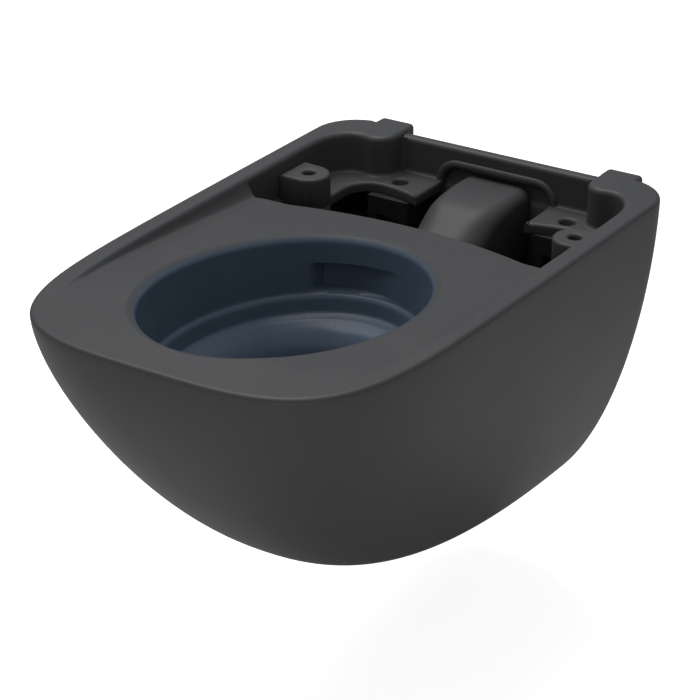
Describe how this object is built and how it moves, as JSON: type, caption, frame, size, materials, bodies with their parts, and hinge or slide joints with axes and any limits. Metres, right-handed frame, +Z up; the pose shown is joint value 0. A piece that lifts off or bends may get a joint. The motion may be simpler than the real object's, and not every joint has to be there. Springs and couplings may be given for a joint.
{
  "type": "wall hung bidet toilet",
  "caption": "Wall hung shower toilet pan in matt dark ceramic: glazed rimless bowl, open rear well for a wash unit, concealed stud clamps, flush inlet and trap outlet.",
  "frame": {"origin": "on the wall plane, midway between the two wall studs", "axes": "+Z up, +Y into the wall, so the front of the pan faces -Y, +X to the right seen from the front"},
  "size_m": [0.3604, 0.569, 0.34],
  "materials": {
    "matt_ceramic": "matt anthracite glaze",
    "bowl_glaze": "gloss navy glaze",
    "seal_rubber": "matt",
    "clamp_plastic": "glass filled nylon",
    "screw_steel": "zinc plated",
    "shoe_brass": "machined"
  },
  "bodies": {
    "pan": {"pan_shell": "matt_ceramic", "rim_deck": "matt_ceramic", "trap_bend": "matt_ceramic", "flush_channel": "matt_ceramic", "rear_wall": "matt_ceramic", "wall_flange": "matt_ceramic", "left_tower": "matt_ceramic", "right_tower": "matt_ceramic", "left_rear_shelf": "matt_ceramic", "right_rear_shelf": "matt_ceramic", "left_front_boss": "matt_ceramic", "right_front_boss": "matt_ceramic", "bowl_ring": "bowl_glaze", "bowl_basin": "bowl_glaze", "bowl_sump": "bowl_glaze", "flush_inlet_seal": "seal_rubber", "stud_bushes": "clamp_plastic", "left_clamp_block": "clamp_plastic", "right_clamp_block": "clamp_plastic"},
    "left_screw": {"left_clamp_screw": "screw_steel"},
    "left_shoe": {"left_clamp_shoe": "shoe_brass"},
    "right_screw": {"right_clamp_screw": "screw_steel"},
    "right_shoe": {"right_clamp_shoe": "shoe_brass"}
  },
  "joints": [
    {"name": "left_screw_turn", "type": "hinge", "parent": "pan", "child": "left_screw", "pos_m": [-0.09, -0.05, 0.03], "axis": [0, 0, -1], "range_deg": [0, 1445]},
    {"name": "left_shoe_press", "type": "slide", "parent": "pan", "child": "left_shoe", "axis": [0, 0, -1], "range_m": [0, 0.005]},
    {"name": "right_screw_turn", "type": "hinge", "parent": "pan", "child": "right_screw", "pos_m": [0.09, -0.05, 0.03], "axis": [0, 0, -1], "range_deg": [0, 1445]},
    {"name": "right_shoe_press", "type": "slide", "parent": "pan", "child": "right_shoe", "axis": [0, 0, -1], "range_m": [0, 0.005]}
  ],
  "couplings": [
    {"joint": "left_screw_turn", "follows": "left_shoe_press", "rad_per_m": 5026.5},
    {"joint": "right_screw_turn", "follows": "right_shoe_press", "rad_per_m": 5026.5}
  ]
}
